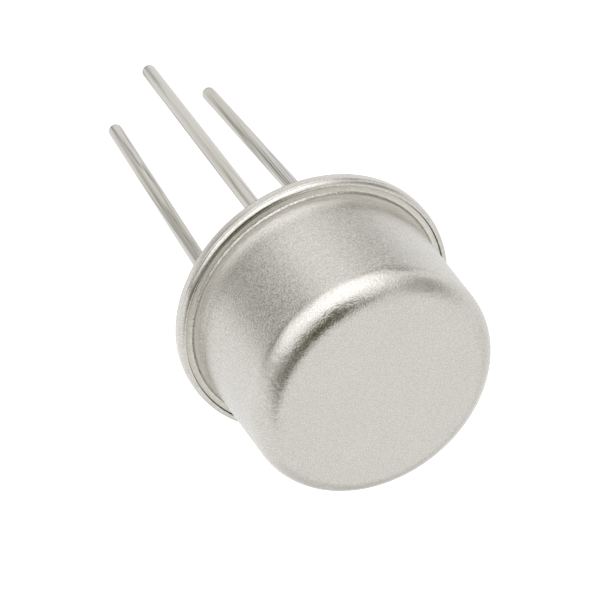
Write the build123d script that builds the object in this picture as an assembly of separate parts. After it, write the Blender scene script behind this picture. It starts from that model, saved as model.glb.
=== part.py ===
from build123d import *
import os
from math import sin, cos, tan, atan, pi, radians, degrees, sqrt

os.makedirs("parts", exist_ok=True)

# Small switching transistor in a three-lead metal can.  Millimetres, +Z up.
# Origin: centre of the seating plane, which is the underside of the header.
# The can stands up along +Z, the leads leave along -Z.
# Emitter lead on -X, base lead on -Y, collector lead on +X, index tab at 135 degrees.

# ---------------------------------------------------------------- dimensions
header_d = 9.20            # header flange diameter
header_t = 0.366           # header flange thickness
header_edge_lo = 0.09      # rounding of its lower outer edge
header_edge_hi = 0.045     # rounding of its upper outer edge
seam_angle = 69.0          # the upper rounding ends at this slope, where the can's flange starts
platform_d = 7.50          # raised platform inside the can
platform_top = 1.15        # height of the platform's top above the seating plane
platform_chamfer = 0.12
tab_w = 0.80               # index tab width
tab_len = 0.90             # index tab length beyond the header's edge
tab_angle = 135.0
tab_corner = 0.12

shoulder_r = 4.4075        # round shoulder of the can's welding flange: centre,
shoulder_z = 0.355
shoulder = 0.178           # and radius
shoulder_lo = 6.0          # slopes between which the shoulder runs
shoulder_hi = 70.0
crest_z = 0.529            # top of the bead round the flange's edge
crest_edge = 0.012         # rounding of the bead's inner edge
groove_r = 4.388           # groove inside the bead
top_rise = 1.8             # the flange's top rises a little outwards, at this angle
cap_wall = 0.20
foot_z = 0.442             # the flange's top at the foot of the wall
foot_r1 = 0.06             # radii of the wall's foot, and the slopes where each ends
foot_r2 = 0.22
foot_r3 = 4.0
foot_e0, foot_e1, foot_e2 = 91.8, 45.0, 12.0
can_z_bottom = 0.43
can_r_bottom = 4.09        # outer radius of the can's wall at that height, without its flared foot
can_r_top = 3.875          # outer radius of the wall where the top's rounding would end
can_top = 5.32             # height of the can's top above the seating plane
can_corner = 0.89          # outer radius of the rounded top edge

lead_d = 0.53
# leads below the seating plane
lead_len = {"emitter": 13.88, "base": 13.81, "collector": 13.84}
lead_tip_round = 0.18
lead_bend_z = 0.45         # depth at which a lead starts to lean
lead_bend_r = 5.0
post_head_d = 0.95         # flattened head of the inner posts
post_head_t = 0.16
post_top = 1.75            # height of the inner posts

seal_d = 1.60              # glass bead diameter
seal_recess = 0.12         # glass face below the metal at both ends
seal_meniscus = 0.10       # glass climbs the lead by this much
foot_d = 0.96              # weld bead where the collector lead meets the header
foot_h = 0.34
foot_sink = 0.12           # the weld sinks this far into the header

die_w = 1.10
die_t = 0.20
preform_w = 1.28
preform_t = 0.04
die_angle = 45.0

wire_d = 0.08
ball_d = 0.22
ball_h = 0.07

# where each lead leaves the header, and where its tip ends: the three stand
# at right angles on a circle of about 4.3 mm, and lean in slightly
lead_root = {"emitter": (-2.06, 0.03), "base": (0.02, -2.16), "collector": (2.27, 0.0)}
lead_tip = {"emitter": (-1.73, 0.16), "base": (-0.03, -1.96), "collector": (2.04, -0.40)}


# ---------------------------------------------------------------- helpers
def rz(shape, deg):
    return shape.rotate(Axis.Z, deg)


def revolve_profile(pts_or_face):
    return revolve(pts_or_face, axis=Axis.Z, revolution_arc=360)


# ---------------------------------------------------------------- the can
def dsin(a):
    return sin(radians(a))


def dcos(a):
    return cos(radians(a))


def seg(p, q):
    return Line((p[0], 0, p[1]), (q[0], 0, q[1]))


def bow(p, m, q):
    return ThreePointArc((p[0], 0, p[1]), (m[0], 0, m[1]), (q[0], 0, q[1]))


def flare(p, rad, a, b):
    """Hollow arc from p, where the slope's normal points at angle a, to angle b."""
    cx, cz = p[0] + rad * dcos(a), p[1] + rad * dsin(a)
    m = (cx - rad * dcos((a + b) / 2), cz - rad * dsin((a + b) / 2))
    q = (cx - rad * dcos(b), cz - rad * dsin(b))
    return bow(p, m, q), q


def round_out(cx, cz, rad, a, b):
    """Arc round (cx, cz) from angle a to angle b, with its two ends."""
    p = (cx + rad * dcos(a), cz + rad * dsin(a))
    m = (cx + rad * dcos((a + b) / 2), cz + rad * dsin((a + b) / 2))
    q = (cx + rad * dcos(b), cz + rad * dsin(b))
    return bow(p, m, q), p, q


def make_can():
    k = (can_r_bottom - can_r_top) / (can_top - can_z_bottom)
    ew = degrees(atan(k))                   # slope of the wall, which leans inwards

    def wall_r(z):
        return can_r_bottom - (z - can_z_bottom) * k

    zf = header_t                           # underside of the can's flange
    # top corner, tangent to the flat top and to the wall
    zc = can_top - can_corner
    xc = wall_r(zc + can_corner * dsin(ew)) - can_corner * dcos(ew)
    corner, c0, c1 = round_out(xc, zc, can_corner, 90.0, ew)
    # the wall's flared foot
    zw = (foot_z + foot_r1 * (dsin(foot_e0) - dsin(foot_e1))
          + foot_r2 * (dsin(foot_e1) - dsin(foot_e2)) + foot_r3 * (dsin(foot_e2) - dsin(ew)))
    w = (wall_r(zw), zw)
    f3, p3 = flare(w, foot_r3, ew, foot_e2)
    f2, p2 = flare(p3, foot_r2, foot_e2, foot_e1)
    f1, p1 = flare(p2, foot_r1, foot_e1, foot_e0)
    # the flange's top, the groove and the bead
    zg = p1[1] + (groove_r - p1[0]) * tan(radians(top_rise))
    g = [(groove_r, zg), (groove_r + 0.0025, zg - 0.005), (groove_r + 0.0065, zg - 0.006),
         (groove_r + 0.0105, zg - 0.002)]
    inner, i0, i1 = round_out(groove_r + 0.030, crest_z - crest_edge, crest_edge, 166.0, 92.0)
    outer, o0, o1 = round_out(shoulder_r, shoulder_z, shoulder, shoulder_hi, shoulder_lo)
    ln = o0[0] - i1[0]
    crest = Bezier((i1[0], 0, i1[1]),
                   (i1[0] + ln / 3, 0, i1[1] + ln / 3 * tan(radians(2.0))),
                   (o0[0] - ln / 3, 0, o0[1] + ln / 3 * tan(radians(90.0 - shoulder_hi))),
                   (o0[0], 0, o0[1]))
    u0 = (o1[0] - 0.0015, zf + 0.0040)
    u1 = (o1[0] - 0.0065, zf)
    # the inside follows the outside at the wall's thickness
    ri = can_corner - cap_wall
    inside, n0, n1 = round_out(xc, zc, ri, ew, 90.0)
    b0 = (wall_r(zf) - cap_wall / dcos(ew), zf)
    edges = [
        seg((0, can_top), c0), corner, seg(c1, w), f3, f2, f1,
        seg(p1, g[0]), seg(g[0], g[1]), seg(g[1], g[2]), seg(g[2], g[3]),
        seg(g[3], i0), inner, crest, outer,
        seg(o1, u0), seg(u0, u1), seg(u1, b0), seg(b0, n0), inside,
        seg(n1, (0, can_top - cap_wall)), seg((0, can_top - cap_wall), (0, can_top)),
    ]
    return revolve_profile(make_face(edges))


# ---------------------------------------------------------------- the header
def make_header():
    r = header_d / 2
    lo, hi = header_edge_lo, header_edge_hi
    rp = platform_d / 2
    pc = platform_chamfer
    bottom, b0, b1 = round_out(r - lo, lo, lo, -90.0, 0.0)
    top, t0, t1 = round_out(r - hi, header_t - hi * dsin(seam_angle), hi, 0.0, seam_angle)
    pts = [
        seg((0, 0), b0), bottom, seg(b1, t0), top,
        seg(t1, (rp, header_t)),
        seg((rp, header_t), (rp, platform_top - pc)),
        seg((rp, platform_top - pc), (rp - pc, platform_top)),
        seg((rp - pc, platform_top), (0, platform_top)),
        seg((0, platform_top), (0, 0)),
    ]
    body = revolve_profile(make_face(pts))
    # index tab, stamped with the flange and as thick as it
    tab_l = 1.2 + tab_len
    x0 = r - 1.2
    tab = Box(tab_l, tab_w, header_t,
              align=(Align.MIN, Align.CENTER, Align.MIN)).moved(Location((x0, 0, 0)))
    tab = fillet(tab.edges().filter_by(Axis.Z).group_by(Axis.X)[-1], tab_corner)
    lower = [e for e in tab.faces().sort_by(Axis.Z)[0].edges() if e.center().X > x0 + 0.01]
    tab = fillet(lower, header_edge_lo)
    upper = [e for e in tab.faces().sort_by(Axis.Z)[-1].edges() if e.center().X > x0 + 0.01]
    tab = fillet(upper, header_edge_hi)
    body = body + rz(tab, tab_angle)
    # bores for the two glass beads
    for name in ("emitter", "base"):
        x, y = lead_root[name]
        bore = Cylinder(seal_d / 2, 4, align=(Align.CENTER, Align.CENTER, Align.MIN)
                        ).moved(Location((x, y, -1)))
        body = body - bore
    # shallow seat of the collector lead's weld
    x, y = lead_root["collector"]
    seat = Cylinder(foot_d / 2, foot_sink + 1, align=(Align.CENTER, Align.CENTER, Align.MIN)
                    ).moved(Location((x, y, -1)))
    return body - seat


# ---------------------------------------------------------------- glass beads
def make_seal(name):
    x, y = lead_root[name]
    ro, ri = seal_d / 2, lead_d / 2
    zb, zt = seal_recess, platform_top - seal_recess
    m = seal_meniscus
    # faces are slightly dished: glass climbs the lead and the bore
    edges = [
        Line((ri, 0, zb - m), (ri, 0, zt + m)),
        ThreePointArc((ri, 0, zt + m), (ri + 0.16, 0, zt - 0.01), (ri + 0.36, 0, zt - 0.02)),
        Line((ri + 0.36, 0, zt - 0.02), (ro, 0, zt)),
        Line((ro, 0, zt), (ro, 0, zb)),
        Line((ro, 0, zb), (ri + 0.36, 0, zb + 0.02)),
        ThreePointArc((ri + 0.36, 0, zb + 0.02), (ri + 0.16, 0, zb + 0.01), (ri, 0, zb - m)),
    ]
    return revolve_profile(make_face(edges)).moved(Location((x, y, 0)))


# ---------------------------------------------------------------- leads
def lead_path(name, z_start):
    x0, y0 = lead_root[name]
    x1, y1 = lead_tip[name]
    return [(x0, y0, z_start), (x0, y0, -lead_bend_z), (x1, y1, -lead_len[name])]


def make_lead(name):
    collector = name == "collector"
    z0 = 0.0 if collector else post_top - post_head_t
    p = lead_path(name, z0)
    path = FilletPolyline(*p, radius=lead_bend_r)
    start = Plane(origin=p[0], z_dir=(0, 0, -1))
    wire = sweep(start * Circle(lead_d / 2), path=path)
    # rounded tip
    tip_edges = wire.edges().filter_by(GeomType.CIRCLE).sort_by(Axis.Z)
    wire = fillet(tip_edges[0], lead_tip_round)
    x, y = p[0][0], p[0][1]
    if collector:
        # weld bead: a small concave collar against the underside of the header
        ri, ro, h = lead_d / 2, foot_d / 2, foot_h
        edges = [
            Line((0, 0, foot_sink), (ro, 0, foot_sink)),
            Line((ro, 0, foot_sink), (ro, 0, 0)),
            Line((ro, 0, 0), (ro - 0.02, 0, -0.06)),
            ThreePointArc((ro - 0.02, 0, -0.06), (ri + 0.07, 0, -0.15), (ri, 0, -h)),
            Line((ri, 0, -h), (0, 0, -h)),
            Line((0, 0, -h), (0, 0, foot_sink)),
        ]
        collar = revolve_profile(make_face(edges)).moved(Location((x, y, 0)))
        return wire + collar
    head = Cylinder(post_head_d / 2, post_head_t,
                    align=(Align.CENTER, Align.CENTER, Align.MIN)
                    ).moved(Location((x, y, post_top - post_head_t)))
    head = fillet(head.edges().filter_by(GeomType.CIRCLE), 0.05)
    return wire + head


# ---------------------------------------------------------------- chip
def make_preform():
    b = Box(preform_w, preform_w, preform_t, align=(Align.CENTER, Align.CENTER, Align.MIN))
    b = fillet(b.edges().filter_by(Axis.Z), 0.15)
    return rz(b, die_angle).moved(Location((0, 0, platform_top)))


def make_die():
    z = platform_top + preform_t
    b = Box(die_w, die_w, die_t, align=(Align.CENTER, Align.CENTER, Align.MIN))
    b = chamfer(b.edges().group_by(Axis.Z)[-1], 0.02)
    return rz(b, die_angle).moved(Location((0, 0, z)))


# ---------------------------------------------------------------- bond wires
def make_bond(name, pad_xy):
    """Gold wire: ball on the chip, loop, and a flattened stitch on the post."""
    z_die = platform_top + preform_t + die_t
    px, py = lead_root[name]
    bx, by = pad_xy
    dx, dy = px - bx, py - by
    d = sqrt(dx * dx + dy * dy)
    ux, uy = dx / d, dy / d
    rw = wire_d / 2

    def at(s, z):
        return (bx + ux * s, by + uy * s, z)

    z_ball = z_die + ball_h
    zp = post_top + rw
    p = [at(0, z_ball), at(0, z_ball + 0.62), at(0.75, z_ball + 1.00),
         at(d - 0.55, zp + 0.34), at(d - 0.22, zp)]
    path = FilletPolyline(*p, radius=[0.24, 0.45, 0.40])
    wire = sweep(Plane(origin=p[0], z_dir=(0, 0, 1)) * Circle(rw), path=path)
    ball = Cylinder(ball_d / 2, ball_h, align=(Align.CENTER, Align.CENTER, Align.MIN)
                    ).moved(Location((bx, by, z_die)))
    ball = fillet(ball.edges().filter_by(GeomType.CIRCLE).sort_by(Axis.Z)[-1], 0.03)
    # stitch: a thin flattened tongue lying on the post
    tongue = Box(0.34, 0.15, wire_d, align=(Align.CENTER, Align.CENTER, Align.MIN))
    tongue = fillet(tongue.edges().filter_by(Axis.Z), 0.06)
    ang = Vector(ux, uy, 0).get_signed_angle(Vector(1, 0, 0), Vector(0, 0, -1))
    tongue = tongue.rotate(Axis.Z, ang)
    tx, ty, _ = at(d - 0.16, 0)
    tongue = tongue.moved(Location((tx, ty, post_top)))
    return wire + ball + tongue


nodes = {
    "can": make_can(),
    "header_base": make_header(),
    "emitter_glass_seal": make_seal("emitter"),
    "base_glass_seal": make_seal("base"),
    "emitter_lead": make_lead("emitter"),
    "base_lead": make_lead("base"),
    "collector_lead": make_lead("collector"),
    "die_attach_preform": make_preform(),
    "silicon_die": make_die(),
    "emitter_bond_wire": make_bond("emitter", (-0.30, 0.05)),
    "base_bond_wire": make_bond("base", (0.10, -0.32)),
}

for name, shape in nodes.items():
    solids = shape.solids()
    print(name, "solids", len(solids), "volume", round(shape.volume, 4), "valid", shape.is_valid)
    export_step(shape, "parts/" + name + ".step")
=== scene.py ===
import bpy, bmesh, math
from mathutils import Vector, Matrix


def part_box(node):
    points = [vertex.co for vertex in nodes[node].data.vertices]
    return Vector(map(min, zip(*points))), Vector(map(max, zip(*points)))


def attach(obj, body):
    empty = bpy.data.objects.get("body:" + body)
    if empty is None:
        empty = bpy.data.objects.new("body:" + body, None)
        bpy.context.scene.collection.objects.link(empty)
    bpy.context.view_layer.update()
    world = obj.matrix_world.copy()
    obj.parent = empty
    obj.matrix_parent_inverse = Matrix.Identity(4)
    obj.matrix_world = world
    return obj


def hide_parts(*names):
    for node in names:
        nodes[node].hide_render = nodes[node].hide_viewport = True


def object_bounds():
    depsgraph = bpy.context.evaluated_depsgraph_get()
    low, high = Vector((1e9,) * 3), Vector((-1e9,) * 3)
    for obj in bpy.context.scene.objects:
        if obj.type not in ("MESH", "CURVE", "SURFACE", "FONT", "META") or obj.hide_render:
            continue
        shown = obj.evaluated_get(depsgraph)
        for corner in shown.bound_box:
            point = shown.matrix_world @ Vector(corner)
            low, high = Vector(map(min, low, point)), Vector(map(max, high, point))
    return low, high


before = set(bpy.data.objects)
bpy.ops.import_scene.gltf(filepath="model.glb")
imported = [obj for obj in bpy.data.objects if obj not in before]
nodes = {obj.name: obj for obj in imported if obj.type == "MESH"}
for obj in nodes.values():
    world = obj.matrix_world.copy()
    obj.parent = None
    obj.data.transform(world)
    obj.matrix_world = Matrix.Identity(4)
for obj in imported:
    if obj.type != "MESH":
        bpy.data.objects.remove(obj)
cad_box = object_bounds()
scene = bpy.context.scene
MM = 0.001


# ------------------------------------------------------------------ camera
# Rows are the camera's right, down and forward directions in the part's frame.
R = Matrix(((-0.866141, 0.313337, 0.389383),
            (0.486972, 0.704445, 0.516349),
            (-0.112508, 0.636849, -0.762735)))
CAM = Vector((6.696, -36.4256, 43.2587)) * MM
cam_data = bpy.data.cameras.new("camera")
cam_data.lens = 108.0
cam_data.sensor_width = 36.0
cam_data.sensor_fit = "HORIZONTAL"
cam_data.clip_start = 0.001
cam_data.clip_end = 20.0
cam = bpy.data.objects.new("camera", cam_data)
scene.collection.objects.link(cam)
right, down, fwd = R[0].copy(), R[1].copy(), R[2].copy()
m = Matrix((right, -down, -fwd)).transposed().to_4x4()
m.translation = CAM
cam.matrix_world = m
scene.camera = cam

scene.view_settings.view_transform = "Standard"
scene.view_settings.look = "None"
scene.view_settings.exposure = 0.0
scene.view_settings.gamma = 1.0


# ------------------------------------------------------------------ material helpers
def new_mat(name):
    mat = bpy.data.materials.new(name)
    mat.use_nodes = True
    nt = mat.node_tree
    nt.nodes.clear()
    out = nt.nodes.new("ShaderNodeOutputMaterial")
    bsdf = nt.nodes.new("ShaderNodeBsdfPrincipled")
    nt.links.new(bsdf.outputs[0], out.inputs[0])
    return mat, nt, bsdf


def node(nt, kind, **props):
    n = nt.nodes.new(kind)
    for k, v in props.items():
        if k in n.inputs.keys():
            n.inputs[k].default_value = v
        else:
            setattr(n, k, v)
    return n


def ramp(nt, src, stops, interp="LINEAR"):
    r = nt.nodes.new("ShaderNodeValToRGB")
    r.color_ramp.interpolation = interp
    els = r.color_ramp.elements
    while len(els) > 1:
        els.remove(els[-1])
    els[0].position, els[0].color = stops[0][0], (*([stops[0][1]] * 3 if isinstance(stops[0][1], float) else stops[0][1]), 1)
    for p, c in stops[1:]:
        e = els.new(p)
        e.color = (*([c] * 3 if isinstance(c, float) else c), 1)
    nt.links.new(src, r.inputs[0])
    return r


def noise(nt, vec, scale, detail=3.0, rough=0.55, distort=0.0):
    n = node(nt, "ShaderNodeTexNoise", Scale=scale, Detail=detail, Roughness=rough, Distortion=distort)
    nt.links.new(vec, n.inputs["Vector"])
    return n.outputs["Fac"]


def math_node(nt, op, a, b=None, c=None, clamp=False):
    n = nt.nodes.new("ShaderNodeMath")
    n.operation = op
    n.use_clamp = clamp
    for i, v in enumerate((a, b, c)):
        if v is None:
            continue
        if isinstance(v, (int, float)):
            n.inputs[i].default_value = v
        else:
            nt.links.new(v, n.inputs[i])
    return n.outputs[0]


def mul(nt, a, b):
    """Colour times colour."""
    n = nt.nodes.new("ShaderNodeVectorMath")
    n.operation = "MULTIPLY"
    nt.links.new(a, n.inputs[0])
    nt.links.new(b, n.inputs[1])
    return n.outputs[0]


def scaled(nt, vec, sx, sy, sz):
    n = nt.nodes.new("ShaderNodeMapping")
    n.inputs["Scale"].default_value = (sx, sy, sz)
    nt.links.new(vec, n.inputs["Vector"])
    return n.outputs[0]


def tint_range(tint, lo, hi):
    return tuple(c * lo for c in tint), tuple(min(1.0, c * hi) for c in tint)


NICKEL = (0.705, 0.684, 0.631)


def satin(name, tint, rough, grain=0.06, bump_k=0.35, corner=False, polish=None):
    """Tumbled nickel plate: fine bright and dark grain in height and colour and
    faint cloudiness.  corner adds the ripples of the drawn corner; polish is the
    roughness that the welding electrode leaves on the flange's bead."""
    mat, nt, b = new_mat(name)
    tc = node(nt, "ShaderNodeTexCoord").outputs["Object"]
    sep = nt.nodes.new("ShaderNodeSeparateXYZ")
    nt.links.new(tc, sep.inputs[0])
    x, y, z = sep.outputs
    fine = noise(nt, tc, 22000.0, 1.0, 0.5)
    mid = noise(nt, scaled(nt, tc, 0.75, 0.75, 1.35), 8200.0, 3.0, 0.6, 0.3)
    cloud = noise(nt, tc, 620.0, 3.0, 0.5)
    spark = ramp(nt, noise(nt, tc, 19000.0, 1.0, 0.5, 0.3), [(0.54, 0.0), (0.66, 1.0)]).outputs[0]
    lo, hi = tint_range(tint, 1.0 - 1.7 * grain, 1.0 + 1.7 * grain)
    c1 = ramp(nt, fine, [(0.30, lo), (0.70, hi)])
    c2 = ramp(nt, mid, [(0.30, 1.0 - 1.1 * grain), (0.68, 1.0)])
    c3 = ramp(nt, cloud, [(0.30, (0.972, 0.970, 0.963)), (0.70, (1.0, 1.0, 1.0))])
    colour = mul(nt, mul(nt, c1.outputs[0], c2.outputs[0]), c3.outputs[0])
    rr = ramp(nt, mid, [(0.3, rough - 0.04), (0.7, rough + 0.05)]).outputs[0]
    if polish is not None:
        rim = math_node(nt, "SQRT", math_node(nt, "ADD", math_node(nt, "MULTIPLY", x, x), math_node(nt, "MULTIPLY", y, y)))
        # 1 up to the groove inside the bead, 0 beyond it
        zone = ramp(nt, math_node(nt, "MULTIPLY", math_node(nt, "SUBTRACT", rim, 4.385 * MM), 1.0 / (0.010 * MM)),
                    [(0.0, 1.0), (1.0, 0.0)]).outputs[0]
        shiny = ramp(nt, mid, [(0.3, polish - 0.02), (0.7, polish + 0.02)]).outputs[0]
        mix = nt.nodes.new("ShaderNodeMapRange")
        nt.links.new(zone, mix.inputs["Value"])
        nt.links.new(shiny, mix.inputs["To Min"])
        nt.links.new(rr, mix.inputs["To Max"])
        rr = mix.outputs["Result"]
        grain_amount = math_node(nt, "MULTIPLY_ADD", zone, 0.75, 0.25)
        # the flange's top and the wall's foot are made dull (less metallic), and their base colour is painted paler
        # there as a painted sheen that brightens them
        zmm = math_node(nt, "MULTIPLY", z, 100.0)
        up_wall = ramp(nt, zmm, [(0.0465, 0.10), (0.0510, 0.36), (0.0570, 0.80), (0.0720, 0.62), (0.1250, 0.0)]).outputs[0]
        on_top = ramp(nt, math_node(nt, "MULTIPLY", math_node(nt, "SUBTRACT", rim, 4.190 * MM), 5000.0),
                      [(0.0, 0.0), (0.10, 0.35), (0.25, 1.0), (0.96, 1.0), (1.0, 0.0)]).outputs[0]
        low = ramp(nt, zmm, [(0.0480, 1.0), (0.0490, 0.0)]).outputs[0]
        dull_and_painted_sheen = math_node(nt, "MULTIPLY", zone, math_node(nt, "MAXIMUM", up_wall, math_node(nt, "MULTIPLY", on_top, low)))
        dull = math_node(nt, "MULTIPLY_ADD", dull_and_painted_sheen, -0.66, 1.0)
    nt.links.new(rr, b.inputs["Roughness"])
    h = math_node(nt, "MULTIPLY_ADD", spark, 0.6, math_node(nt, "MULTIPLY_ADD", mid, 0.55, fine))
    if polish is not None:
        # the grain is strongest on the wall, weakest where the corner was stretched
        spread = ramp(nt, math_node(nt, "MULTIPLY", z, 100.0),
                      [(0.4400, 1.0), (0.4560, 0.42), (0.5270, 0.42), (0.5316, 0.66)]).outputs[0]
        h = math_node(nt, "MULTIPLY", math_node(nt, "MULTIPLY", h, grain_amount), spread)
    bump = node(nt, "ShaderNodeBump", Strength=bump_k, Distance=0.00001)
    nt.links.new(h, bump.inputs["Height"])
    last = bump
    if corner:
        r2 = math_node(nt, "ADD", math_node(nt, "MULTIPLY", x, x), math_node(nt, "MULTIPLY", y, y))
        r = math_node(nt, "SQRT", r2)
        # how far up and how far out on the rounded corner, 0 to 1
        zz = math_node(nt, "MULTIPLY", math_node(nt, "SUBTRACT", z, (5.32 - 0.89) * MM), 1.0 / (0.89 * MM))
        oo = math_node(nt, "MULTIPLY", math_node(nt, "SUBTRACT", r, 2.99 * MM), 1.0 / (0.89 * MM))
        up = ramp(nt, zz, [(0.05, 0.0), (0.45, 1.0)])
        out = ramp(nt, oo, [(0.02, 0.0), (0.40, 1.0)])
        mask = math_node(nt, "MULTIPLY", up.outputs[0], out.outputs[0])
        rip = noise(nt, scaled(nt, tc, 1.0, 1.0, 1.4), 2600.0, 4.0, 0.66, 1.2)
        tooth = noise(nt, tc, 9000.0, 2.0, 0.6, 0.4)
        rip2 = math_node(nt, "MULTIPLY", math_node(nt, "MULTIPLY_ADD", tooth, 0.14, rip), mask)
        b2 = node(nt, "ShaderNodeBump", Strength=0.55, Distance=0.00003)
        nt.links.new(rip2, b2.inputs["Height"])
        nt.links.new(last.outputs[0], b2.inputs["Normal"])
        last = b2
    nt.links.new(last.outputs[0], b.inputs["Normal"])
    if polish is not None:
        nt.links.new(dull, b.inputs["Metallic"])
        # painted sheen: the base colour is scaled up to 1.33 times where the flange top and wall foot mask is full
        painted_sheen_scale = nt.nodes.new("ShaderNodeVectorMath")
        painted_sheen_scale.operation = "SCALE"
        nt.links.new(colour, painted_sheen_scale.inputs[0])
        nt.links.new(math_node(nt, "MULTIPLY_ADD", dull_and_painted_sheen, 0.33, 1.0), painted_sheen_scale.inputs["Scale"])
        # painted shade: the base colour is darkened to 0.30 in a narrow ring over the groove inside the bead
        groove = ramp(nt, math_node(nt, "MULTIPLY", math_node(nt, "SUBTRACT", rim, 4.370 * MM), 20000.0),
                      [(0.18, 1.0), (0.34, 0.30), (0.64, 0.30), (0.78, 1.0)]).outputs[0]
        painted_groove_shade = nt.nodes.new("ShaderNodeVectorMath")
        painted_groove_shade.operation = "SCALE"
        nt.links.new(painted_sheen_scale.outputs[0], painted_groove_shade.inputs[0])
        nt.links.new(groove, painted_groove_shade.inputs["Scale"])
        colour = painted_groove_shade.outputs[0]
    else:
        b.inputs["Metallic"].default_value = 1.0
    nt.links.new(colour, b.inputs["Base Color"])
    return mat


def drawn_wire(name, tint, rough):
    """Plated wire: long fine die lines along the lead, patches of dull plating."""
    mat, nt, b = new_mat(name)
    tc = node(nt, "ShaderNodeTexCoord").outputs["Object"]
    line = noise(nt, scaled(nt, tc, 1.0, 1.0, 0.012), 6500.0, 3.0, 0.6)
    broad = noise(nt, scaled(nt, tc, 1.0, 1.0, 0.05), 2600.0, 2.0, 0.5)
    speck = noise(nt, tc, 15000.0, 2.0, 0.6)
    c1 = ramp(nt, line, [(0.36, tint_range(tint, 0.58, 1)[0]), (0.47, tint)])
    c2 = ramp(nt, broad, [(0.34, (0.92, 0.91, 0.88)), (0.50, (1.0, 1.0, 1.0))])
    c3 = ramp(nt, speck, [(0.3, 0.95), (0.7, 1.0)])
    nt.links.new(mul(nt, mul(nt, c1.outputs[0], c2.outputs[0]), c3.outputs[0]), b.inputs["Base Color"])
    rr = ramp(nt, broad, [(0.3, rough - 0.02), (0.7, rough + 0.03)])
    nt.links.new(rr.outputs[0], b.inputs["Roughness"])
    bump = node(nt, "ShaderNodeBump", Strength=0.10, Distance=0.00001)
    nt.links.new(math_node(nt, "MULTIPLY_ADD", speck, 0.35, line), bump.inputs["Height"])
    nt.links.new(bump.outputs[0], b.inputs["Normal"])
    b.inputs["Metallic"].default_value = 1.0
    return mat


# ------------------------------------------------------------------ mesh helpers
def make_piece(name, verts, faces, mat, cad_node, sharp=38.0):
    me = bpy.data.meshes.new(name)
    me.from_pydata([tuple(c * MM for c in v) for v in verts], [], faces)
    bm = bmesh.new()
    bm.from_mesh(me)
    bmesh.ops.recalc_face_normals(bm, faces=bm.faces)
    bm.to_mesh(me)
    bm.free()
    me.polygons.foreach_set("use_smooth", [True] * len(me.polygons))
    me.set_sharp_from_angle(angle=math.radians(sharp))
    me.materials.append(mat)
    o = bpy.data.objects.new(name, me)
    scene.collection.objects.link(o)
    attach(o, "root")
    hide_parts(cad_node)
    return o


def arc(cx, cz, r, a0, a1, n, first=False):
    """Points on an arc in the profile plane, angles in degrees."""
    out = []
    for i in range(0 if first else 1, n + 1):
        a = math.radians(a0 + (a1 - a0) * i / n)
        out.append((cx + r * math.cos(a), cz + r * math.sin(a)))
    return out


def line(p, q, n):
    return [(p[0] + (q[0] - p[0]) * i / n, p[1] + (q[1] - p[1]) * i / n) for i in range(1, n + 1)]


def lathe(profile, seg, closed_top=True, closed_bottom=True):
    """Verts and faces of a turned shell. Ends on the axis are closed with fans."""
    verts, faces = [], []
    rings = []
    for r, z in profile:
        if r < 1e-9:
            rings.append([len(verts)])
            verts.append((0.0, 0.0, z))
        else:
            base = len(verts)
            for i in range(seg):
                a = 2 * math.pi * i / seg
                verts.append((r * math.cos(a), r * math.sin(a), z))
            rings.append(list(range(base, base + seg)))
    for a, b in zip(rings, rings[1:]):
        if len(a) == 1:
            faces += [(a[0], b[i], b[(i + 1) % seg]) for i in range(seg)]
        elif len(b) == 1:
            faces += [(a[(i + 1) % seg], a[i], b[0]) for i in range(seg)]
        else:
            faces += [(a[i], b[i], b[(i + 1) % seg], a[(i + 1) % seg]) for i in range(seg)]
    return verts, faces


# ------------------------------------------------------------------ the can
# Same sizes as the construction model, in millimetres.
SEG = 320
FLANGE_Z0 = 0.366                            # underside of the can's flange, on the header
SHOULDER_R, SHOULDER_Z, SHOULDER = 4.4075, 0.355, 0.178   # round shoulder of the flange's bead
FLANGE_R = SHOULDER_R + SHOULDER * math.cos(math.radians(6.0))
CREVICE_R = 4.388                            # groove left by the electrode inside the bead
FOOT_Z = 0.442                               # the flange's top at the foot of the wall
TOP_RISE = math.tan(math.radians(1.8))       # the flange's top rises a little outwards to the groove
CREST_Z = 0.5290                             # top of the bead
WALL_K = (4.09 - 3.875) / (5.32 - 0.43)
WALL_E = math.atan(WALL_K)


def wall_r(z):
    return 4.09 - (z - 0.43) * WALL_K


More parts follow.
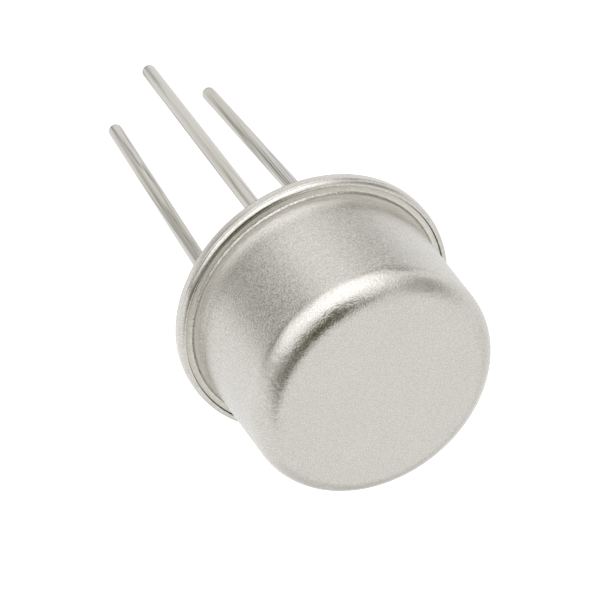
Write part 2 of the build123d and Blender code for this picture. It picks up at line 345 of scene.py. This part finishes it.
def can_profile():
    pts = [(0.0, 5.32)]
    rc, zc = 0.89, 5.32 - 0.89
    # corner centre, so that the arc meets the leaning wall smoothly
    ew = math.degrees(WALL_E)
    z_w = zc + rc * math.sin(WALL_E)
    cx = wall_r(z_w) - rc * math.cos(WALL_E)
    pts += line((0.0, 5.32), (cx, 5.32), 26)
    pts += arc(cx, zc, rc, 90.0, ew, 44)
    # wall down to the soft flare above the flange
    r3, r2, r1 = 4.0, 0.22, 0.06
    e2, e1, e0 = 12.0, 45.0, 91.8

    def se(a):
        return math.sin(math.radians(a))

    def ce(a):
        return math.cos(math.radians(a))
    zw = FOOT_Z + r1 * (se(e0) - se(e1)) + r2 * (se(e1) - se(e2)) + r3 * (se(e2) - se(ew))
    pts += line(pts[-1], (wall_r(zw), zw), 14)

    def flare(r, z, rad, a, b, n):
        """Concave arc that starts at (r, z) with normal angle a and ends with b."""
        cx_, cz_ = r + rad * ce(a), z + rad * se(a)
        return [(cx_ - rad * ce(a + (b - a) * i / n), cz_ - rad * se(a + (b - a) * i / n)) for i in range(1, n + 1)]
    pts += flare(*pts[-1], r3, ew, e2, 16)
    pts += flare(*pts[-1], r2, e2, e1, 14)
    pts += flare(*pts[-1], r1, e1, e0, 6)
    crev_z = pts[-1][1] + (CREVICE_R - pts[-1][0]) * TOP_RISE
    pts += line(pts[-1], (CREVICE_R, crev_z), 5)
    # groove, steep inner face, flat crest and round shoulder of the bead
    pts += [(CREVICE_R + 0.0025, crev_z - 0.005), (CREVICE_R + 0.0065, crev_z - 0.006),
            (CREVICE_R + 0.0105, crev_z - 0.002)]
    br = 0.012
    bx, bz = CREVICE_R + 0.030, CREST_Z - br
    inner = arc(bx, bz, br, 166.0, 92.0, 8, first=True)
    pts += line(pts[-1], inner[0], 4) + inner[1:]
    # the crest runs on into the shoulder
    qx, qz = SHOULDER_R + SHOULDER * ce(70.0), SHOULDER_Z + SHOULDER * se(70.0)
    px, pz = pts[-1]
    ta, tb = math.tan(math.radians(2.0)), -math.tan(math.radians(20.0))
    w = qx - px
    for i in range(1, 11):
        t = i / 10
        h00, h10, h01, h11 = 2 * t**3 - 3 * t**2 + 1, t**3 - 2 * t**2 + t, -2 * t**3 + 3 * t**2, t**3 - t**2
        pts.append((px + w * t, h00 * pz + h10 * w * ta + h01 * qz + h11 * w * tb))
    pts += arc(SHOULDER_R, SHOULDER_Z, SHOULDER, 70.0, 6.0, 26)
    pts += [(FLANGE_R - 0.0015, FLANGE_Z0 + 0.0040), (FLANGE_R - 0.0065, FLANGE_Z0)]
    # underside of the flange, then the inside of the can
    k = 0.20
    ri_w = wall_r(FLANGE_Z0) - k / math.cos(WALL_E)
    pts += line(pts[-1], (ri_w, FLANGE_Z0), 3)
    zi = zc + (rc - k) * math.sin(WALL_E)
    ri = cx + (rc - k) * math.cos(WALL_E)
    pts += line(pts[-1], (ri, zi), 8)
    pts += arc(cx, zc, rc - k, ew, 90.0, 12)
    pts += line(pts[-1], (0.0, 5.12), 6)
    return pts


can_mat = satin("can_nickel_satin", NICKEL, 0.20, grain=0.07, bump_k=0.54, corner=True, polish=0.04)
v, f = lathe(can_profile(), SEG)
make_piece("nickel_can", v, f, can_mat, "can")


# ------------------------------------------------------------------ the header
HR = 4.5955
TAB_A = math.radians(135.0)
TAB_W, TAB_L, TAB_C = 0.40, 0.90, 0.12       # half width, length beyond the rim, corner radius
ROOT_R = 0.10                                # small rounding where the tab leaves the rim
SEAT_Z = 0.366                               # top of the header's flange, the can's flange sits on it
EDGE_LO, EDGE_HI = 0.09, 0.045               # rounding of the lower and the upper edge
SEAM_A = 69.0                                # the upper rounding ends here, at the seat


def header_outline():
    """Outer edge of the header seen from above, with its index tab.
    Each entry: point, outward normal, 1 on the tab and 0 on the round rim."""
    out = []
    # in the tab's own frame: u along the tab, w across it
    # root rounding: circle of radius ROOT_R outside the rim and beside the tab
    cw = TAB_W + ROOT_R
    cu = math.sqrt((HR + ROOT_R) ** 2 - cw ** 2)
    a_root = math.atan2(cw, cu)                # rim angle where the rounding starts
    tip_u = HR + TAB_L
    side = []
    # half outline from the middle of the tip to the rim, w > 0
    n_tip = 6
    for i in range(n_tip + 1):
        side.append(((tip_u, (TAB_W - TAB_C) * i / n_tip), (1.0, 0.0), 1.0))
    for i in range(1, 9):
        a = math.radians(90.0 * i / 8)
        side.append(((tip_u - TAB_C + TAB_C * math.cos(a), TAB_W - TAB_C + TAB_C * math.sin(a)),
                     (math.cos(a), math.sin(a)), 1.0))
    n_side = 10
    for i in range(1, n_side + 1):
        u = tip_u - TAB_C + (cu - (tip_u - TAB_C)) * i / n_side
        side.append(((u, TAB_W), (0.0, 1.0), 1.0 if i < n_side else 0.9))
    # rounding, from pointing sideways to pointing along the rim's radius
    a_start, a_end = -90.0, -180.0 + math.degrees(a_root)
    n_r = 8
    for i in range(1, n_r + 1):
        a = math.radians(a_start + (a_end - a_start) * i / n_r)
        side.append(((cu + ROOT_R * math.cos(a), cw + ROOT_R * math.sin(a)),
                     (-math.cos(a), -math.sin(a)), 0.9 * (1 - i / n_r)))
    # the rest of the rim
    n_rim = 300
    rim = []
    for i in range(1, n_rim):
        a = a_root + (2 * math.pi - 2 * a_root) * i / n_rim
        rim.append(((HR * math.cos(a), HR * math.sin(a)), (math.cos(a), math.sin(a)), 0.0))
    mirror = [((p[0], -p[1]), (n[0], -n[1]), k) for p, n, k in reversed(side[1:])]
    full = side + rim + mirror
    c, s = math.cos(TAB_A), math.sin(TAB_A)
    for p, n, k in full:
        out.append(((p[0] * c - p[1] * s, p[0] * s + p[1] * c), (n[0] * c - n[1] * s, n[0] * s + n[1] * c), k))
    return out


def header_mesh():
    outline = header_outline()
    n = len(outline)
    verts, faces = [], []

    def ring(fn):
        base = len(verts)
        for p, nn, k in outline:
            verts.append(fn(p, nn, k))
        return list(range(base, base + n))

    def off(d, z):
        return lambda p, nn, k: (p[0] - nn[0] * d, p[1] - nn[1] * d, z)

    def mixed(rim_d, rim_z, tab_fn):
        """Rim vertices take (rim_d, rim_z); tab vertices take tab_fn."""
        def fn(p, nn, k):
            a = Vector((p[0] - nn[0] * rim_d, p[1] - nn[1] * rim_d, rim_z))
            b = Vector(tab_fn(p, nn))
            return tuple(a.lerp(b, k))
        return fn

    def circ(r, z):
        def fn(p, nn):
            l = math.hypot(*p)
            return (p[0] / l * r, p[1] / l * r, z)
        return fn

    def circ_ring(r, z):
        g = circ(r, z)
        return lambda p, nn, k: g(p, nn)

    rings = []
    e = EDGE_LO
    for i in range(11):
        a = math.radians(90.0 * i / 10)
        rings.append(ring(off(e * (1 - math.sin(a)), e * (1 - math.cos(a)))))
    rings.append(ring(off(0.0, 0.20)))
    e = EDGE_HI
    zc = SEAT_Z - e * math.sin(math.radians(SEAM_A))
    for i in range(11):
        # round the tab the same edge runs out flat on its top
        a, t = math.radians(SEAM_A * i / 10), math.radians(90.0 * i / 10)
        d, z = e * (1 - math.cos(t)), SEAT_Z - e + e * math.sin(t)
        rings.append(ring(mixed(e * (1 - math.cos(a)), zc + e * math.sin(a),
                                lambda p, nn, d=d, z=z: (p[0] - nn[0] * d, p[1] - nn[1] * d, z))))
    r_in = HR - e * (1 - math.cos(math.radians(SEAM_A))) - 0.006
    rings.append(ring(circ_ring(r_in, SEAT_Z)))
    for i in range(1, 4):
        rings.append(ring(circ_ring(r_in + (3.75 - r_in) * i / 3, SEAT_Z)))
    for r, z in ((3.75, 0.6), (3.75, 1.03), (3.63, 1.15)):
        rings.append(ring(circ_ring(r, z)))
    for a, b in zip(rings, rings[1:]):
        faces += [(a[i], a[(i + 1) % n], b[(i + 1) % n], b[i]) for i in range(n)]
    bottom, top = rings[0], rings[-1]

    # holes for the two beads go right through, the weld's seat is shallow
    hs = 96

    def hole_ring(x, y, r, z):
        base = len(verts)
        for i in range(hs):
            a = 2 * math.pi * i / hs
            verts.append((x + r * math.cos(a), y + r * math.sin(a), z))
        return list(range(base, base + hs))

    bottom_loops, top_loops = [bottom], [top]
    for name in ("emitter_glass_seal", "base_glass_seal"):
        lo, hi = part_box(name)
        x, y = (lo.x + hi.x) / 2 / MM, (lo.y + hi.y) / 2 / MM
        b0 = hole_ring(x, y, 0.815, 0.0)
        b1 = hole_ring(x, y, 0.803, 0.006)
        b2 = hole_ring(x, y, 0.80, 0.02)
        t0 = hole_ring(x, y, 0.80, 1.15)
        for a, b in ((b0, b1), (b1, b2), (b2, t0)):
            faces.extend((a[(i + 1) % hs], a[i], b[i], b[(i + 1) % hs]) for i in range(hs))
        bottom_loops.append(b0)
        top_loops.append(t0)
    sx, sy = 2.27, 0.0
    s0 = hole_ring(sx, sy, 0.48, 0.0)
    s1 = hole_ring(sx, sy, 0.48, 0.12)
    faces.extend((s0[(i + 1) % hs], s0[i], s1[i], s1[(i + 1) % hs]) for i in range(hs))
    faces.append(tuple(s1))
    bottom_loops.append(s0)

    # flat faces with holes
    for loops in (bottom_loops, top_loops):
        bm = bmesh.new()
        ids = {}
        edges = []
        for loop in loops:
            vs = []
            for i in loop:
                q = bm.verts.new(verts[i])
                ids[q] = i
                vs.append(q)
            for i in range(len(vs)):
                edges.append(bm.edges.new((vs[i], vs[(i + 1) % len(vs)])))
        bmesh.ops.triangle_fill(bm, use_beauty=True, edges=edges, use_dissolve=False)
        for fc in bm.faces:
            faces.append(tuple(ids[q] for q in fc.verts))
        bm.free()
    return verts, faces


head_mat = satin("header_nickel", NICKEL, 0.06, grain=0.06, bump_k=0.08)
v, f = header_mesh()
make_piece("nickel_header", v, f, head_mat, "header_base")


# ------------------------------------------------------------------ leads
LEAD_R = 0.265
ROOT = {"emitter": (-2.06, 0.03), "base": (0.02, -2.16), "collector": (2.27, 0.0)}
TIP = {"emitter": (-1.73, 0.16), "base": (-0.03, -1.96), "collector": (2.04, -0.40)}
LENGTH = {"emitter": 13.88, "base": 13.81, "collector": 13.84}
BEND_Z, BEND_R, TIP_ROUND = 0.45, 5.0, 0.18


def lead_mesh(name):
    x0, y0 = ROOT[name]
    x1, y1 = TIP[name]
    collector = name == "collector"
    knee = Vector((x0, y0, -BEND_Z))
    tip = Vector((x1, y1, -LENGTH[name]))
    d0 = Vector((0, 0, -1))
    d1 = (tip - knee).normalized()
    ang = d0.angle(d1)
    tl = BEND_R * math.tan(ang / 2)
    side = (d1 - d0 * d1.dot(d0)).normalized()
    centre = knee - d0 * tl + side * BEND_R
    path = []                                   # (centre point, direction)
    z_start = 0.12 if collector else 1.75 - 0.16
    start = Vector((x0, y0, z_start))
    s_end = knee - d0 * tl
    for i in range(7):
        path.append((start.lerp(s_end, i / 6), d0))
    for i in range(1, 9):
        a = ang * i / 8
        path.append((centre - side * BEND_R * math.cos(a) + d0 * BEND_R * math.sin(a),
                     (d0 * math.cos(a) + side * math.sin(a)).normalized()))
    e_start = path[-1][0]
    e_end = tip - d1 * TIP_ROUND
    for i in range(1, 25):
        path.append((e_start.lerp(e_end, i / 24), d1))
    seg = 56
    verts, faces, rings = [], [], []

    def add(c, d, r):
        ref = Vector((0, 1, 0))
        u = (ref - d * ref.dot(d)).normalized()
        w = d.cross(u)
        base = len(verts)
        for i in range(seg):
            a = 2 * math.pi * i / seg
            verts.append(tuple(c + (u * math.cos(a) + w * math.sin(a)) * r))
        rings.append(list(range(base, base + seg)))

    c0 = Vector((x0, y0, 0))
    if collector:
        # weld bead: buried foot, then a concave collar that runs down to the wire
        add(c0 + Vector((0, 0, 0.12)), d0, 0.48)
        add(c0 + Vector((0, 0, 0.0)), d0, 0.48)
        add(c0 + Vector((0, 0, -0.03)), d0, 0.474)
        pa, pm, pb = Vector((0.46, -0.06)), Vector((LEAD_R + 0.07, -0.15)), Vector((LEAD_R, -0.34))
        # circle through the three points
        ax, ay, bx, by, cx, cy = *pa, *pm, *pb
        dd = 2 * (ax * (by - cy) + bx * (cy - ay) + cx * (ay - by))
        ux = ((ax * ax + ay * ay) * (by - cy) + (bx * bx + by * by) * (cy - ay) + (cx * cx + cy * cy) * (ay - by)) / dd
        uy = ((ax * ax + ay * ay) * (cx - bx) + (bx * bx + by * by) * (ax - cx) + (cx * cx + cy * cy) * (bx - ax)) / dd
        rad = math.hypot(ax - ux, ay - uy)
        a0, a1 = math.atan2(ay - uy, ax - ux), math.atan2(cy - uy, cx - ux)
        if a1 - a0 > math.pi:
            a1 -= 2 * math.pi
        if a0 - a1 > math.pi:
            a1 += 2 * math.pi
        for i in range(13):
            a = a0 + (a1 - a0) * i / 12
            add(c0 + Vector((0, 0, uy + rad * math.sin(a))), d0, ux + rad * math.cos(a))
        path = [q for q in path if q[0].z < -0.36]
    else:
        # flattened head of the inner post
        hr, ht, er = 0.475, 0.16, 0.05
        zt = 1.75
        for i in range(5):
            a = math.radians(90.0 * i / 4)
            add(c0 + Vector((0, 0, zt - er + er * math.cos(a))), d0, hr - er + er * math.sin(a))
        for i in range(5):
            a = math.radians(90.0 * i / 4)
            add(c0 + Vector((0, 0, zt - ht + er - er * math.sin(a))), d0, hr - er + er * math.cos(a))
    for c, d in path:
        add(c, d, LEAD_R)
    for i in range(1, 13):
        a = math.radians(90.0 * i / 12)
        add(e_end + d1 * TIP_ROUND * math.sin(a), d1, LEAD_R - TIP_ROUND + TIP_ROUND * math.cos(a))
    for a, b in zip(rings, rings[1:]):
        faces += [(a[i], a[(i + 1) % seg], b[(i + 1) % seg], b[i]) for i in range(seg)]
    faces.append(tuple(reversed(rings[0])))
    faces.append(tuple(rings[-1]))
    return verts, faces


lead_mat = drawn_wire("lead_wire", (0.660, 0.641, 0.592), 0.05)
for n in ("emitter", "base", "collector"):
    v, f = lead_mesh(n)
    make_piece(n + "_wire_lead", v, f, lead_mat, n + "_lead")


# ------------------------------------------------------------------ the rest
def assign(name, mat):
    o = nodes[name]
    o.data.materials.clear()
    o.data.materials.append(mat)


gold_mat = satin("gold_alloy", (0.83, 0.62, 0.25), 0.25, grain=0.05, bump_k=0.3)

glass_mat, nt, b = new_mat("seal_glass")
tc = node(nt, "ShaderNodeTexCoord").outputs["Object"]
gc = ramp(nt, noise(nt, tc, 2500.0, 3.0), [(0.3, (0.025, 0.04, 0.045)), (0.75, (0.06, 0.09, 0.10))])
nt.links.new(gc.outputs[0], b.inputs["Base Color"])
gr = ramp(nt, noise(nt, tc, 6000.0, 2.0), [(0.3, 0.06), (0.7, 0.13)])
nt.links.new(gr.outputs[0], b.inputs["Roughness"])

sil_mat, nt, b = new_mat("silicon")
tc = node(nt, "ShaderNodeTexCoord").outputs["Object"]
sc = ramp(nt, noise(nt, tc, 5000.0, 2.0), [(0.3, (0.10, 0.10, 0.13)), (0.7, (0.14, 0.15, 0.18))])
nt.links.new(sc.outputs[0], b.inputs["Base Color"])
b.inputs["Metallic"].default_value = 0.6
b.inputs["Roughness"].default_value = 0.15

for n in ("emitter_glass_seal", "base_glass_seal"):
    assign(n, glass_mat)
for n in ("die_attach_preform", "emitter_bond_wire", "base_bond_wire"):
    assign(n, gold_mat)
assign("silicon_die", sil_mat)


# ------------------------------------------------------------------ floor
me = bpy.data.meshes.new("floor")
bm = bmesh.new()
bmesh.ops.create_grid(bm, x_segments=8, y_segments=8, size=0.6)
bm.to_mesh(me)
bm.free()
floor = bpy.data.objects.new("floor", me)
floor.location = (0, 0, cad_box[0][2] - 0.00002)
scene.collection.objects.link(floor)
fmat, nt, b = new_mat("pale_floor")
tc = node(nt, "ShaderNodeTexCoord").outputs["Object"]
fc = ramp(nt, noise(nt, tc, 3.0, 2.0), [(0.3, 0.78), (0.7, 0.80)])
nt.links.new(fc.outputs[0], b.inputs["Base Color"])
b.inputs["Roughness"].default_value = 0.9
b.inputs["Specular IOR Level"].default_value = 0.0
b.inputs["Emission Color"].default_value = (1, 1, 1, 1)
b.inputs["Emission Strength"].default_value = 0.7
me.materials.append(fmat)
# the floor is lit and seen, but the metal mirrors the tent, not the floor
floor.visible_glossy = False


# ------------------------------------------------------------------ world
# A soft light tent: pale all round, with two soft boxes at the part's height
# on the camera's side, and darker gaps where the tent is open.
# (azimuth, elevation, half width, half height, edge softness, brightness)
PANELS = [
    (-50.1, 71.0, 37.5, 22.0, 40.0, 0.07),    # dark ceiling behind the camera
    (-17.3, 44.1, 5.1, 8.1, 38.2, 0.23),      # small dark gap
    (-170.6, 20.9, 12.7, 19.7, 40.0, 0.43),   # dark flag on the left
    (-156.3, -33.8, 6.5, 11.0, 6.0, 0.38),    # its stand
    (98.5, -5.5, 40.2, 22.5, 40.0, 0.63),     # back of the room
    (-51.3, -31.2, 22.3, 19.0, 40.0, 0.15),   # dark edge of the table
    (-153.0, -42.6, 21.0, 3.0, 6.8, 0.31),
    (108.9, -49.3, 5.0, 31.0, 18.4, 1.25),
    (117.7, -44.0, 28.6, 53.9, 40.0, 0.94),   # pale table, far side
    (-104.1, 1.9, 30.9, 33.1, 40.0, 1.64),    # large soft box
    (-61.2, -0.8, 18.0, 29.3, 38.4, 1.46),    # its right half
    (-21.2, 18.8, 3.0, 39.7, 14.0, 0.51),     # edge between two sheets
    (-121.5, 38.2, 4.8, 12.9, 15.2, 1.26),
    (0.0, -89.9, 18.0, 18.0, 7.0, 0.20),      # stand under the part
]
BASE, LEAN = 0.925, 0.074

world = bpy.data.worlds.new("studio")
scene.world = world
world.use_nodes = True
wn = world.node_tree
wn.nodes.clear()
wo = wn.nodes.new("ShaderNodeOutputWorld")
bg = wn.nodes.new("ShaderNodeBackground")
wn.links.new(bg.outputs[0], wo.inputs[0])
wtc = wn.nodes.new("ShaderNodeTexCoord")
DIR = wtc.outputs["Generated"]


def wmath(op, a, b=None, c=None):
    return math_node(wn, op, a, b, c)


def wdot(v):
    n = wn.nodes.new("ShaderNodeVectorMath")
    n.operation = "DOT_PRODUCT"
    wn.links.new(DIR, n.inputs[0])
    n.inputs[1].default_value = v
    return n.outputs["Value"]


def wstep(src, lo, hi):
    """1 below lo, 0 above hi, smooth between."""
    n = wn.nodes.new("ShaderNodeMapRange")
    n.interpolation_type = "SMOOTHERSTEP"
    n.inputs["From Min"].default_value = lo
    n.inputs["From Max"].default_value = hi
    n.inputs["To Min"].default_value = 1.0
    n.inputs["To Max"].default_value = 0.0
    wn.links.new(src, n.inputs["Value"])
    return n.outputs["Result"]


def panel(az, el, half_w, half_h, soft, power=3.0):
    """Soft-edged panel seen from the part, 1 inside and 0 outside."""
    a, e = math.radians(az), math.radians(el)
    n = Vector((math.cos(e) * math.cos(a), math.cos(e) * math.sin(a), math.sin(e)))
    h = Vector((-math.sin(a), math.cos(a), 0.0))
    v = n.cross(h)
    dn = wmath("MAXIMUM", wdot(n), 0.05)
    u = wmath("ABSOLUTE", wmath("DIVIDE", wdot(h), dn))
    w = wmath("ABSOLUTE", wmath("DIVIDE", wdot(v), dn))
    u = wmath("DIVIDE", u, math.tan(math.radians(half_w)))
    w = wmath("DIVIDE", w, math.tan(math.radians(half_h)))
    d = wmath("POWER", wmath("ADD", wmath("POWER", u, power), wmath("POWER", w, power)), 1.0 / power)
    k = soft / min(half_w, half_h)
    return wstep(d, max(0.02, 1.0 - k / 2), 1.0 + k / 2)


def blend_to(cur, value, mask):
    """cur moves to value where mask is 1."""
    return wmath("ADD", wmath("MULTIPLY", cur, wmath("SUBTRACT", 1.0, mask)), wmath("MULTIPLY", mask, value))


env = wmath("ADD", BASE, wmath("MULTIPLY", wdot(Vector((0.4, 0.5, 0.0))), LEAN))
# the pale table is a little brighter than the tent over it
env = wmath("MULTIPLY_ADD", wstep(wdot(Vector((0.0, 0.0, 1.0))), -0.55, 0.25), 0.05, env)
for az, el, hw, hh, soft, value in PANELS:
    env = blend_to(env, value, panel(az, el, hw, hh, soft))
rgb = wn.nodes.new("ShaderNodeCombineColor")
# the gaps are a little warmer than the tent
wn.links.new(env, rgb.inputs[0])
wn.links.new(wmath("MULTIPLY", env, 1.0), rgb.inputs[1])
wn.links.new(wmath("MULTIPLY_ADD", env, 1.06, -0.05), rgb.inputs[2])
wn.links.new(rgb.outputs[0], bg.inputs["Color"])
bg.inputs["Strength"].default_value = 1.0
world.cycles.sampling_method = "MANUAL"
world.cycles.sample_map_resolution = 1024
